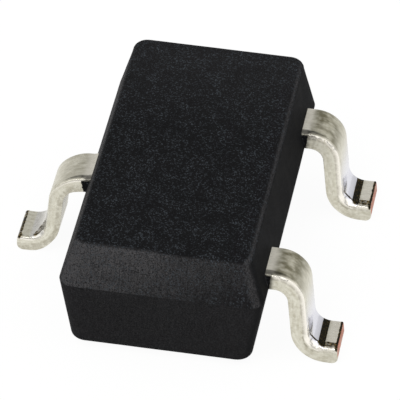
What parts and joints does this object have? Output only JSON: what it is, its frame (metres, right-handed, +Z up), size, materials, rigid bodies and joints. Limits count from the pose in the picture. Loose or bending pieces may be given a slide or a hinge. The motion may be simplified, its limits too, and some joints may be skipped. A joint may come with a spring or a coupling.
{
  "type": "magnetic sensor chip",
  "caption": "Small moulded magnetic sensor chip with gull-wing leads that stands on its solder feet, built with its lead frame, die and bond wires inside.",
  "frame": {"origin": "middle of the body in plan, on the plane that the feet stand on", "axes": "+X out of the side with two leads, +Y along the body's length, +Z up away from the board"},
  "size_m": [0.0028, 0.0028, 0.0011],
  "materials": {
    "epoxy": "black mould compound, fine-grained and matte on top and ends, smoother on the sides",
    "tinned_copper": "matte tin plating over copper alloy, bare copper at the cut toes",
    "glue": "cured silver-filled epoxy",
    "silicon": "sawn silicon with a polished grey top",
    "gold": "drawn gold wire"
  },
  "bodies": {
    "root": {"moulded_body": "epoxy", "lead_supply": "tinned_copper", "lead_output": "tinned_copper", "lead_ground_paddle": "tinned_copper", "die_glue": "glue", "sensor_die": "silicon", "bond_wire_supply": "gold", "bond_wire_output": "gold", "bond_wire_ground": "gold"}
  },
  "joints": []
}
